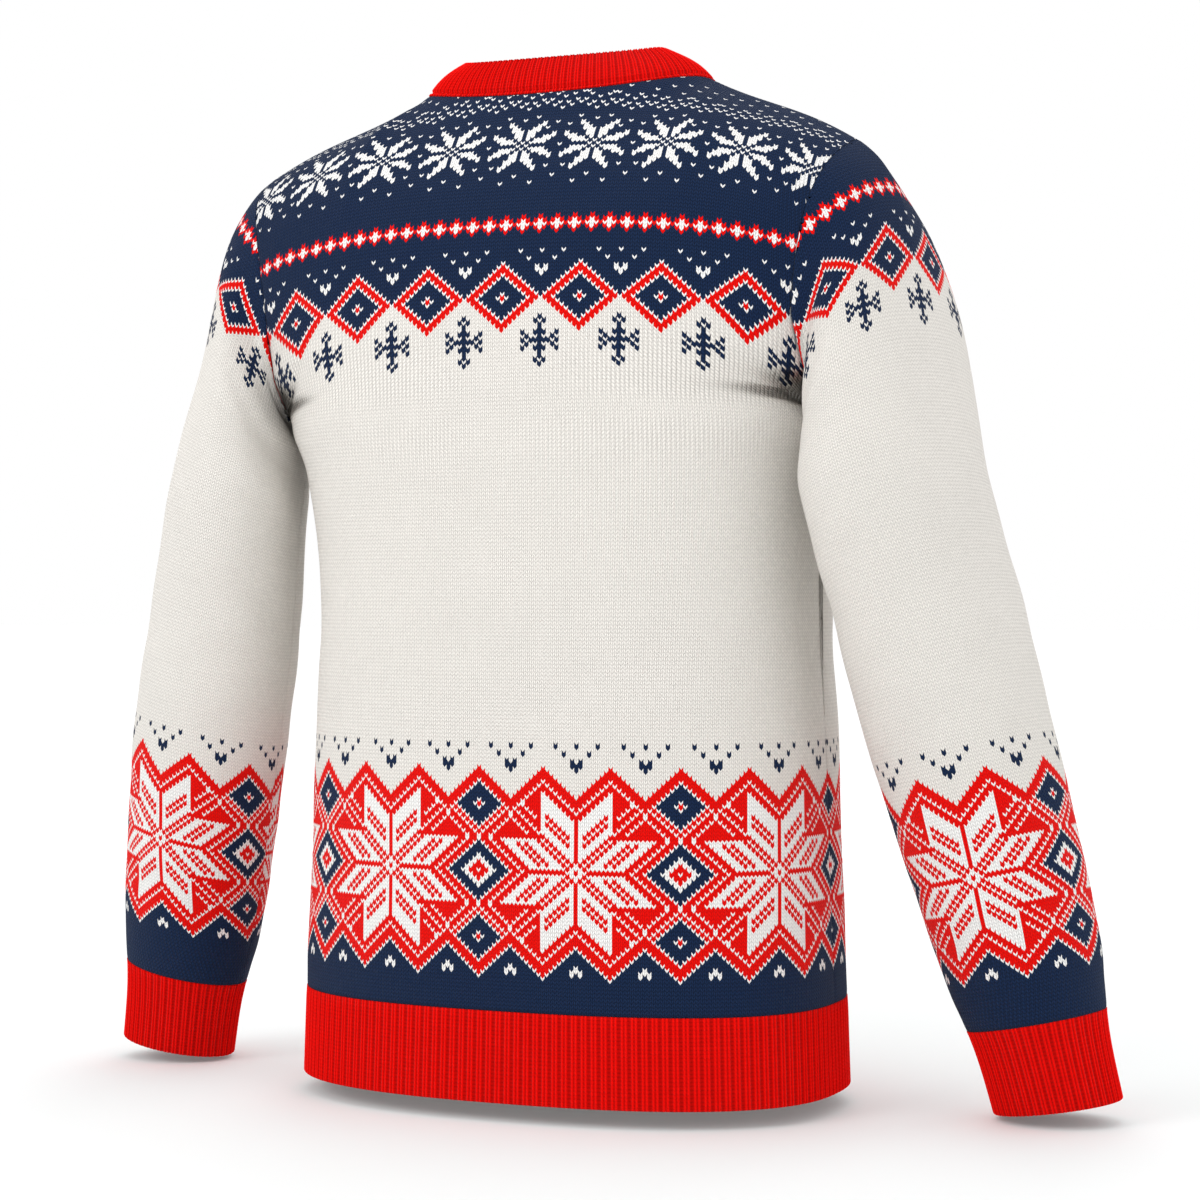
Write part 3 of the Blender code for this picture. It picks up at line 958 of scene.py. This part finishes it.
def wool(finish: Finish) -> bpy.types.Material:
    """The knitted wool, coloured by the mesh's yarn attribute, with painted shade in the gaps
    between the stitches and between the ribs.

    Args:
        finish: How it looks.

    Returns:
        The material.
    """
    sh = Shader(finish.name)
    uv = sh.node("ShaderNodeUVMap", uv_map="stitch")
    across, up = (sh.node("ShaderNodeSeparateXYZ", {0: uv}, k) for k in (0, 1))
    yarn = sh.node("ShaderNodeAttribute", None, "Color", attribute_name="yarn")
    lift = up.math("FRACT")
    if finish.legs:
        leg = (across * 2.0).math("FRACT")
        across_leg = 4.0 * leg * (1.0 - leg)
        course = 4.0 * lift * (1.0 - lift)
        body = across_leg ** 0.35 * (0.25 + 0.75 * course ** 0.8)
    else:
        # Two knit columns stand up side by side, and purl stitches lie between the pairs.
        wave = (across * (2 * math.pi)).math("COSINE")
        rib = (0.95 + 1.00 * wave - 0.80 * wave * wave - 0.90 * wave * wave * wave).clamped()
        lean = (up + 2.4 * across).math("FRACT")
        course = 4.0 * lean * (1.0 - lean)
        purl = 4.0 * lift * (1.0 - lift)
        body = rib * (0.80 + 0.20 * course) + (1.0 - rib) * 0.30 * purl
    coords = sh.node("ShaderNodeTexCoord", None, "Object")
    fine, broad = (sh.node("ShaderNodeTexNoise", {"Vector": coords, "Scale": scale, "Detail": 3.0})
                   for scale in (1300.0, 34.0))
    cell = sh.node("ShaderNodeCombineXYZ", {
        0: (across + 0.5).math("FLOOR"), 1: up.math("FLOOR")})
    chance = sh.node("ShaderNodeTexWhiteNoise", {"Vector": cell}, noise_dimensions="2D")
    # The painted shade between the stitches is deeper on the dark yarns.
    red = sh.node("ShaderNodeSeparateColor", {0: yarn})
    dark = 1.0 - (red * 8.0).math("MINIMUM", 1.0)
    if finish.legs:
        over = sh.node("ShaderNodeAttribute", None, "Color", attribute_name="over")
        yarn = sh.mix((lift - 0.55) * 7.0, yarn, over)
    # Painted shade: the base colour is darker in the gaps between the stitches' legs, at the ends
    # of the courses and in the purl valleys between the ribs. The noise factors add tone that
    # differs at random.
    painted_shade_and_tone = (1.0 - finish.shade) + finish.shade * body
    painted_shade_and_tone = painted_shade_and_tone ** (1.0 + 1.6 * dark)
    painted_shade_and_tone = painted_shade_and_tone * (0.90 + 0.20 * fine) * (0.97 + 0.06 * broad) * (0.955 + 0.09 * chance)
    painted_shade_and_tone_grey = sh.node("ShaderNodeCombineColor", {0: painted_shade_and_tone, 1: painted_shade_and_tone, 2: painted_shade_and_tone})
    height = body * (0.7 + 0.6 * chance) + finish.fuzz * fine
    bump = sh.node("ShaderNodeBump", {
        "Strength": 1.0, "Distance": finish.relief, "Height": height})
    for socket, value in (("Base Color", sh.mix(1.0, yarn, painted_shade_and_tone_grey, "MULTIPLY")),
                          ("Normal", bump), ("Roughness", finish.roughness),
                          ("Sheen Weight", finish.sheen), ("Sheen Roughness", 0.5),
                          ("Specular IOR Level", 0.05)):
        sh.plug(value, sh.surface.inputs[socket])
    return sh.material


# ---- the pieces


def radial(points: Array, axis: Array | None = None) -> Array:
    """The level way out from an upright axis through the given points, or the body's own."""
    return (points - (0.0 if axis is None else axis)) * (1, 1, 0)


def turned(cloth: Cloth) -> Cloth:
    """The same cloth with its columns in the other order, so that it faces the other way."""
    return Cloth(*(values[:, ::-1] for values in vars(cloth).values()))


INNER_GRID = (48, 60)
BODY_YOKE_ROW, SLEEVE_YOKE_ROW = 12.6, 2.0


@dataclass
class KnitPanel:
    """A panel or a sleeve: an outer sheet of stitches and a plain inner sheet."""

    name: str
    form: Form
    chart: Chart
    folds: tuple[Fold, ...]
    scale: tuple[float, float]
    flat: tuple[float, float]
    area: float
    seed: float = 0.0
    spread: float = 1.065
    droop: float = 0.023

    def build(self, material: bpy.types.Material) -> bpy.types.Object:
        """Knits the piece.

        Args:
            material: Its wool.

        Returns:
            The piece.
        """
        weaver = Weaver(self.form, spread=self.spread)
        half = int(math.ceil(weaver.half_width() / SIZES.stitch)) + 1
        courses = int(math.ceil((weaver.full_height() + self.droop) / SIZES.course)) + 1

        def fill(k: int, columns: Array, rows: Array) -> Cloth:
            """The cloth of the outer sheet (k 0) or the inner one (k 1), facing its own way."""
            cloth = self.outer(weaver, half, courses) if k == 0 else self.inner(columns, rows)
            middle = grid_normals(cloth.points)
            live = ~cloth.drop
            out = radial(cloth.points, self.axis(cloth.points))
            facing = float(np.sum(np.sum(middle * out, axis=-1)[live]))
            facing = facing if k == 0 else -facing
            return cloth if facing > 0 else turned(cloth)

        piece = fill_grids(self.name + "_knit", ((4 * half, courses), INNER_GRID), fill, rim=True)
        piece.data.materials.append(material)
        declare(piece, self.name, self.flat, self.area)
        return piece

    def axis(self, points: Array) -> Array | None:
        """A point for each row of a sleeve's axis, or None for the body's own axis."""
        sleeve = isinstance(self.form, SleeveForm)
        return points.mean(axis=1, keepdims=True) if sleeve else None

    def lifted(self, points: Array, s: Array, row: Array, edge: Array, depth: Array) -> Array:
        """Folds the cloth and moves it along its normals.

        Args:
            points: The grid on the form.
            s: Its s.
            row: Its rows.
            edge: The distance to the nearest seam.
            depth: A further distance out.

        Returns:
            The moved grid.
        """
        near = 1e-3
        low, high = sorted((self.form.bottom, self.form.top))
        a = self.form.point(np.clip(s + near, -1, 1), row)
        b = self.form.point(np.clip(s - near, -1, 1), row)
        c = self.form.point(s, np.clip(row + near * 9, low, high))
        d = self.form.point(s, np.clip(row - near * 9, low, high))
        normal = unit(np.cross(a - b, c - d))
        out = radial(points, self.axis(points))
        sign = 1.0 if np.sum(np.sum(normal * out, axis=-1) * (edge > 0.02)) > 0 else -1.0
        fade = np.clip(edge / SIZES.fold_fade, 0, 1)
        fade = fade * fade * (3 - 2 * fade)
        drift = (np.sin(s * 5.1 + row * 1.3 + self.seed) * np.sin(row * 1.9 - s * 2.2)
                 + 0.6 * np.sin(s * 11.0 - row * 0.9 + 2 * self.seed) * np.sin(row * 2.7 + 1))
        lift = (folded(self.folds, s, row, self.scale) + SIZES.drift * drift) * fade
        return points + normal * (sign * (lift + depth))[..., None]

    def outer(self, weaver: Weaver, half: int, courses: int) -> Cloth:
        """The sheet of stitches.

        Args:
            weaver: What lays it out.
            half: The stitches on each side of the middle.
            courses: The courses.

        Returns:
            The cloth.
        """
        steps = np.arange(-2 * half, 2 * half + 1)
        u = steps * SIZES.stitch / 2
        mid = steps % 2 == 0
        # The yoke's courses hang down a little on their way to the armholes.
        sag = self.droop * np.clip(np.abs(u) / SIZES.armhole_half, 0, 1.1) ** 2.5
        found = []
        for j in range(courses + 1):
            level = j * SIZES.course
            f = min(max((level - SIZES.droop_from) / SIZES.droop_over, 0.0), 1.0)
            found.append(weaver.lay(u, np.maximum(level - SIZES.notch * mid - sag * f, 0)))
        s, rows, side, top = (np.array([line[k] for line in found]) for k in range(4))
        up = np.arange(courses + 1.0)[:, None]
        edge = np.minimum(np.minimum(side, top), up * SIZES.course)
        points = self.form.point(s, rows)
        groove = SIZES.seam_depth * np.exp(-((np.maximum(edge, 0) / SIZES.seam_width) ** 2))
        relief = np.where(mid, SIZES.leg_out, -SIZES.leg_in)
        points = self.lifted(points, s, rows, np.maximum(edge, 0), relief - groove)
        stitch_uv = joined(steps / 2.0, up)
        bake = joined(0.01 + 0.88 * (steps + 2 * half) / (4.0 * half), 0.01 + 0.98 * up / courses)
        column = np.floor(steps[:-1] / 2 + 0.5 + 0.25).astype(int)
        grid = np.broadcast_arrays(column, np.arange(courses)[:, None])
        yarns = self.chart.colours(*grid)
        # A dark stitch covers the tops of the pale stitch below it, which leaves a thin V.
        above = np.concatenate([yarns[1:], yarns[-1:]])
        pale = (yarns == CREAM) | (yarns == WHITE)
        over = np.where(pale & ((above == NAVY) | (above == RED)), above, yarns)
        return Cloth(points, stitch_uv, bake, (side <= 0) | (top <= 0), YARN_COLOURS[yarns],
                     YARN_COLOURS[over])

    def inner(self, columns: Array, rows: Array) -> Cloth:
        """The inner sheet.

        Args:
            columns: The columns of its vertices.
            rows: The rows of its vertices.

        Returns:
            The cloth.
        """
        s = -1 + 2 * columns / columns[-1]
        f = rows / rows[-1]
        row = self.form.bottom + (self.form.top - self.form.bottom) * f
        s, row = np.meshgrid(s, row)
        points = self.form.point(s, row)
        edge = np.minimum((1 - np.abs(s)) * 0.2, 0.05)
        points = self.lifted(points, s, row, edge, np.full(s.shape, -SIZES.wall))
        bake = joined(columns / columns[-1], f[:, None]) * (0.08, 0.98) + (0.91, 0.01)
        yoke = row > BODY_YOKE_ROW if isinstance(self.form, BodyForm) else row < SLEEVE_YOKE_ROW
        shade = np.where(yoke[:-1, :-1, None], YARN_COLOURS[NAVY], YARN_COLOURS[CREAM] * 0.9)
        return Cloth(points, joined(s * 90, row * 18), bake, np.zeros(s.shape, bool), shade, shade)


COLUMNS_A_RIB, CAGE_ROWS = 12, 24
RIB_RELIEF = 0.0007
RIB_WAVES = (0.45, -0.55, -0.30)
SEAM_AT, SEAM_SPREAD = 0.085, 0.022
OUTSIDE, ROLL, INSIDE = 22, 6, 10


@dataclass
class RibBand:
    """A ribbed band: its outside, the rolled end and its inside in one sheet."""

    name: str
    surface: Callable[[Array, Array], Array]
    ribs: int
    flat: tuple[float, float]
    closed: bool
    around: bool = False
    seam: float = 0.0

    def build(self, material: bpy.types.Material) -> bpy.types.Object:
        """Knits the band.

        Args:
            material: Its wool.

        Returns:
            The piece.
        """
        wide, high = self.ribs * COLUMNS_A_RIB, OUTSIDE + ROLL + INSIDE + 1
        f = np.concatenate([np.linspace(0, 1, OUTSIDE + 1), np.ones(ROLL - 1),
                            np.linspace(1, 0, INSIDE + 1), [0.0]])
        turn = np.concatenate([np.zeros(OUTSIDE + 1), np.linspace(0, np.pi, ROLL + 1)[1:-1],
                               np.full(INSIDE + 1, np.pi), [2 * np.pi]])

        def fill(k: int, columns: Array, rows: Array) -> Cloth:
            """The cloth of the band, from its seam round the rolled end and up its inside."""
            t = columns / columns[-1]
            grid_t, grid_f = np.meshgrid(t, np.linspace(0, 1, CAGE_ROWS + 1))
            base = self.surface(grid_t, grid_f)
            normal = grid_normals(base)
            if self.closed:
                ends = unit(normal[:, 0] + normal[:, -1])
                normal[:, 0] = normal[:, -1] = ends
            along = unit(np.gradient(base, axis=0))
            axis = base.mean(axis=1, keepdims=True) if self.around else None
            sign = 1.0 if np.sum(normal * radial(base, axis)) > 0 else -1.0
            normal = normal * sign
            at = f * CAGE_ROWS
            i = np.clip(np.floor(at).astype(int), 0, CAGE_ROWS - 1)
            g = (at - i)[:, None, None]
            point, way, end = (grid[i] * (1 - g) + grid[i + 1] * g
                               for grid in (base, normal, along))
            way = unit(way)
            # Two knit columns stand up side by side in each rib.
            phase = 2 * np.pi * self.ribs * t
            wave = sum(high * np.cos(k * phase) for k, high in enumerate(RIB_WAVES, 1))
            loose = 0.55 + 0.45 * np.clip(f / 0.12, 0, 1)
            relief = RIB_RELIEF * wave[None, :] * loose[:, None] * np.cos(turn)[:, None]
            dip = np.exp(-((f - SEAM_AT) / SEAM_SPREAD) ** 2) * (turn == 0)
            radius = SIZES.rib_wall / 2
            deep = radius * (np.cos(turn) - 1)
            out = deep[:, None] + relief - self.seam * dip[:, None]
            past = (radius * np.sin(turn) - radius * (f > 0.999))[:, None, None]
            point = point + way * out[..., None] + end * past
            u, v = np.meshgrid(t * self.ribs, np.cumsum(np.r_[0, np.abs(np.diff(f))
                                                              + np.abs(np.diff(turn)) * 0.02]))
            length = self.flat[1] / SIZES.course
            stitch = joined(u, v * length)
            bake = joined(0.01 + 0.98 * u / self.ribs, 0.01 + 0.98 * v / v.max())
            colours = np.broadcast_to(YARN_COLOURS[RED], (high, wide, 3))
            cloth = Cloth(point, stitch, bake, np.zeros(u.shape, bool), colours, colours)
            return cloth if sign > 0 else turned(cloth)

        piece = fill_grids(self.name + "_ribs", ((wide, high),), fill, weld=1e-5)
        piece.data.materials.append(material)
        declare(piece, self.name, self.flat, None)
        return piece


def declare(piece: bpy.types.Object, node: str, flat: tuple[float, float],
            area: float | None) -> None:
    """Parents a piece to the root, hides the part of the node that it shows and logs its faces.

    Args:
        piece: The piece.
        node: The node that it shows.
        flat: The width and length of its cut. Not used.
        area: The area of its cut, or None for a rectangle. Not used.
    """
    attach(piece, "root")
    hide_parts(node)
    LOG.info("%s: %d faces", piece.name, len(piece.data.polygons))


def hem_surface(side: Side) -> Callable[[Array, Array], Array]:
    """The hem rib of the back or the front.

    Args:
        side: Which.

    Returns:
        The surface over (t, f): t goes across, f from the seam to the end.
    """
    form = BACK if side is Side.BACK else FRONT

    def surface(t: Array, f: Array) -> Array:
        """The hem rib over (t, f)."""
        top = form.point(2 * t - 1, np.zeros_like(t))
        out = joined(top[..., 0], top[..., 1], 0.0)
        point = top + unit(out) * (SIZES.hem_flare * f)[..., None]
        point[..., 2] -= SIZES.hem_drop * f
        return point

    return surface


def cuff_surface(sign: int) -> Callable[[Array, Array], Array]:
    """A cuff.

    Args:
        sign: 1 for the left, -1 for the right.

    Returns:
        The surface over (t, f): t goes round, f from the seam to the end.
    """

    def surface(t: Array, f: Array) -> Array:
        """The cuff over (t, f)."""
        s = 2 * t - 1
        top = SleeveForm.tube(s, np.full(s.shape, SleeveForm.bottom))
        end = ring(np.broadcast_to(CUFF_OUT, top.shape), np.broadcast_to(CUFF_IN, top.shape),
                   np.full(s.shape, SIZES.cuff_half), np.zeros_like(s),
                   np.full(s.shape, 2.0), s)
        point = top + (end - top) * f[..., None]
        middle = (top.mean(axis=-2, keepdims=True) * (1 - f[..., None])
                  + end.mean(axis=-2, keepdims=True) * f[..., None])
        point = point - (point - middle) * (0.03 * np.sin(np.pi * f ** 0.7))[..., None]
        return point * np.array((sign, 1.0, 1.0))

    return surface


def collar_surface(t: Array, f: Array) -> Array:
    """The neck rib, round from the left by the back.

    Args:
        t: How far round.
        f: How far from the seam to the end.

    Returns:
        The points.
    """
    back = t < 0.5
    s = np.where(back, 0.5 - 2 * t, 2 * t - 1.5)
    way = np.where(back, 1.0, -1.0)
    foot = np.where(back[..., None], BACK.top_edge(s), FRONT.top_edge(s))
    angle = np.abs(s) / SIZES.neck_share * np.pi / 2
    middle = np.where(back, SIZES.collar_lean_back, SIZES.collar_lean_front)
    lean = middle + (SIZES.collar_lean_side - middle) * np.sin(angle) ** 2
    inward = -joined(np.sign(s) * np.sin(angle), way * np.cos(angle), 0.0)
    flat = np.where(back, 1.0, 0.62)
    rise = SIZES.collar_rise * (flat + (0.86 - flat) * np.sin(angle) ** 2)
    # The rim runs over the shoulder in a curve, with no peak there.
    rise = rise * (1 - 0.10 * np.exp(-((np.pi / 2 - angle) / 0.28) ** 2))
    bow = 0.10 * np.sin(np.pi * f)
    point = foot + inward * (lean * (f - bow))[..., None]
    point[..., 2] += rise * (f + 0.6 * bow)
    return point


def evenly(surface: Callable[[Array, Array], Array]) -> Callable[[Array, Array], Array]:
    """The same surface with t in step with the length along its middle.

    Args:
        surface: The surface.

    Returns:
        The evened surface.
    """
    t = np.linspace(0, 1, 2001)
    line = surface(t[None, :], np.full((1, 2001), 0.5))[0]
    length = lengths(line)

    def evened(u: Array, f: Array) -> Array:
        """The surface over (u, f), where u is a share of the length."""
        return surface(np.interp(u, length / length[-1], t), f)

    return evened


# ---- the studio


# Near the sweater the paper is a little cyan, painted against the red light bounced from the ribs,
# and it glows less, a painted shade under the sweater.
PAPER_FAR, PAPER_NEAR_AGAINST_RED_BOUNCE = (0.74, 0.74, 0.74, 1.0), (0.72, 0.76, 0.76, 1.0)
GLOW_NEAR_PAINTED_SHADE, GLOW_FAR = (0.12, 0.13, 0.13, 1.0), (0.30, 0.30, 0.30, 1.0)


def pale_paper() -> bpy.types.Material:
    """The floor's paper. It glows a little far off, so that it ends in white with no horizon. Near
    the sweater it glows less, a painted shade under the sweater, and its paper is a little cyan,
    painted against the red light that the ribs bounce onto it.

    Returns:
        The material.
    """
    sh = Shader("pale paper")
    level = sh.node("ShaderNodeVectorMath", {
        0: sh.node("ShaderNodeTexCoord", None, "Object"), 1: (1.0, 1.3, 0.0)},
        operation="MULTIPLY")
    away = sh.node("ShaderNodeVectorMath", {0: level}, "Value", operation="LENGTH")
    far = ((away - 0.7) * 0.45).clamped()
    near = (-3.0 * away * away).math("EXPONENT")
    # Painted: the paper turns cyan near the sweater against the red bounce, and its glow drops
    # there as a painted shade.
    for socket, value in (("Base Color", sh.mix(near, PAPER_FAR, PAPER_NEAR_AGAINST_RED_BOUNCE)),
                          ("Emission Color", sh.mix(far, GLOW_NEAR_PAINTED_SHADE, GLOW_FAR)),
                          ("Emission Strength", 1.0), ("Roughness", 0.9)):
        sh.plug(value, sh.surface.inputs[socket])
    return sh.material


@dataclass(frozen=True)
class Lamp:
    """A soft lamp."""

    name: str
    place: tuple[float, float, float]
    size: float
    watts: float


@dataclass
class Studio:
    """The floor, the lamps and the camera."""

    floor_level: float = -0.7035
    target: tuple[float, float, float] = (0.0, 0.0, -0.357)
    camera_place: tuple[float, float, float] = (-0.7975, 1.8341, -0.357)
    lens: float = 85.2
    shift: float = 0.0217
    lamps: tuple[Lamp, ...] = (
        Lamp("key", (1.5, 2.6, 1.3), 1.6, 27.5),
        Lamp("fill", (-2.6, 1.3, 0.3), 2.0, 6.0),
        Lamp("top", (0.0, 0.3, 2.4), 2.2, 12.0),
        Lamp("front", (0.6, -2.6, 0.9), 2.0, 14.0),
    )

    def build(self) -> None:
        """Sets up the studio."""
        self.lay_floor()
        for lamp in self.lamps:
            light = bpy.data.lights.new(lamp.name, "AREA")
            light.shape = "DISK"
            light.size = lamp.size
            light.energy = lamp.watts
            self.place(light, lamp.place)
        world = bpy.data.worlds.new("studio")
        world.use_nodes = True
        shade = world.node_tree.nodes["Background"]
        shade.inputs[0].default_value = (1.0, 1.0, 1.0, 1.0)
        shade.inputs[1].default_value = 1.0
        bpy.context.scene.world = world
        lens = bpy.data.cameras.new("camera")
        lens.lens, lens.sensor_width, lens.shift_x = self.lens, 36.0, self.shift
        bpy.context.scene.camera = self.place(lens, self.camera_place)
        bpy.context.scene.view_settings.view_transform = "Standard"

    def lay_floor(self) -> None:
        """Lays the paper that the sweater hangs just above."""
        work = bmesh.new()
        bmesh.ops.create_grid(work, x_segments=1, y_segments=1, size=30.0)
        mesh = bpy.data.meshes.new("floor")
        work.to_mesh(mesh)
        work.free()
        mesh.transform(Matrix.Translation((0.0, 0.0, self.floor_level)))
        mesh.materials.append(pale_paper())
        floor = bpy.data.objects.new("floor", mesh)
        bpy.context.scene.collection.objects.link(floor)

    def place(self, data: bpy.types.Light | bpy.types.Camera,
              place: tuple[float, float, float]) -> bpy.types.Object:
        """Puts a lamp or the camera in its place, aimed at the sweater.

        Args:
            data: The lamp's or the camera's data.
            place: Where it is.

        Returns:
            The object.
        """
        holder = bpy.data.objects.new(data.name, data)
        turn = (Vector(self.target) - Vector(place)).to_track_quat("-Z", "Y")
        holder.matrix_world = Matrix.LocRotScale(Vector(place), turn, None)
        bpy.context.scene.collection.objects.link(holder)
        return holder


BODY_SCALE = (0.27, 0.052)
SLEEVE_SCALE = (0.19, 0.033)
BACK_FOLDS = (
    Fold((0.97, 7.6), (0.62, 10.6), 0.016, -0.0022),
    Fold((0.97, 7.0), (0.66, 9.2), 0.014, 0.0014),
    Fold((-0.97, 7.8), (-0.66, 10.2), 0.016, -0.0020),
    Fold((-0.96, 6.8), (-0.62, 8.7), 0.014, 0.0013),
    Fold((0.90, 4.2), (0.40, 5.1), 0.022, -0.0011),
    Fold((-0.88, 3.6), (-0.30, 4.4), 0.024, -0.0010),
    Fold((0.92, 1.6), (0.45, 2.3), 0.022, -0.0009),
)
FRONT_FOLDS = tuple(Fold((-f.start[0], f.start[1] - 0.2), (-f.end[0], f.end[1] + 0.3),
                         f.width * 1.05, f.height * 0.9) for f in BACK_FOLDS)
SLEEVE_FOLDS = (
    Fold((-0.92, 1.2), (-0.45, -1.0), 0.012, -0.0020),
    Fold((-0.95, 2.4), (-0.50, 1.0), 0.012, 0.0012),
    Fold((-0.90, 4.6), (-0.40, 3.4), 0.013, -0.0014),
    Fold((0.92, 1.4), (0.50, -0.6), 0.013, -0.0018),
    Fold((0.90, 5.0), (0.45, 3.8), 0.013, -0.0012),
    Fold((-0.85, 8.6), (-0.35, 7.2), 0.014, -0.0010),
    Fold((0.85, 9.4), (0.40, 8.2), 0.014, -0.0010),
    Fold((-0.80, 12.6), (-0.30, 11.8), 0.012, -0.0009),
)


def main() -> None:
    """Builds the pullover and its studio, in order."""
    logging.basicConfig(level=logging.INFO)
    knit, rib = wool(KNIT), wool(RIB)
    body_chart = Chart(star_column=-19, yoke_column=-1)
    pieces = [
        KnitPanel("back", BACK, body_chart, BACK_FOLDS, BODY_SCALE, (0.57, 0.70), 0.313),
        KnitPanel("front", FRONT, body_chart, FRONT_FOLDS, BODY_SCALE, (0.57, 0.70), 0.309, 1.7),
    ]
    for name, sign, chart in (("left", 1, Chart(-29, -27, 42, 201, False)),
                              ("right", -1, Chart(-30, -27, 40, 198, False))):
        pieces.append(KnitPanel("sleeve_" + name, SleeveForm(sign=sign), chart, SLEEVE_FOLDS,
                                SLEEVE_SCALE, (0.43, 0.61), 0.202, 0.9 * sign, 1.09, 0.0))
    for piece in pieces:
        piece.build(knit)
    bands = [RibBand("hem_rib_" + side.name.lower(), evenly(hem_surface(side)), 78,
                     (0.53, 0.061), False) for side in Side]
    bands += [RibBand("cuff_" + name, evenly(cuff_surface(sign)), 43, (0.26, 0.060), True, True)
              for name, sign in (("left", 1), ("right", -1))]
    bands.append(RibBand("neck_rib", evenly(collar_surface), 120, (0.58, 0.035), True, False,
                         0.0016))
    for band in bands:
        band.build(rib)
    Studio().build()


if __name__ == "__main__":
    main()
